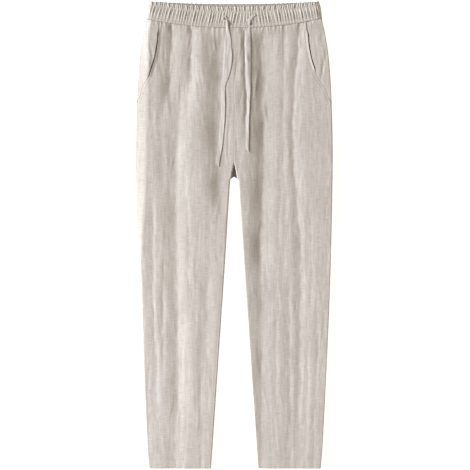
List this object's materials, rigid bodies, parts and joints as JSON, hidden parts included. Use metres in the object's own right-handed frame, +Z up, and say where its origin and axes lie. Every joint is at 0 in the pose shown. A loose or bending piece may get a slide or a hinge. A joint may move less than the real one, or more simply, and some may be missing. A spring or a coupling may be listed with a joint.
{
  "type": "drawstring trousers",
  "caption": "Straight-leg linen trousers laid flat, with a gathered waistband, a drawstring, slanted side pockets and turned hems.",
  "frame": {"origin": "bottom centre of the laid garment's box, on the surface it rests on", "axes": "+Z up out of the surface, +Y from the hems to the waist, +X across the fronts to the wearer's left leg"},
  "size_m": [0.4348, 1.0298, 0.0213],
  "materials": {
    "linen": "natural undyed linen, plain weave with slubs, matt",
    "linen_facing": "the same linen where it lies deeper, at the hips inside the pocket edges",
    "linen_tape": "flat tie sewn from the same linen"
  },
  "bodies": {
    "root": {"front_left": "linen", "front_right": "linen", "back_left": "linen", "back_right": "linen", "pocket_facing_left": "linen_facing", "pocket_facing_right": "linen_facing", "waistband_front": "linen", "waistband_back": "linen", "drawstring_left": "linen_tape", "drawstring_right": "linen_tape"}
  },
  "joints": []
}
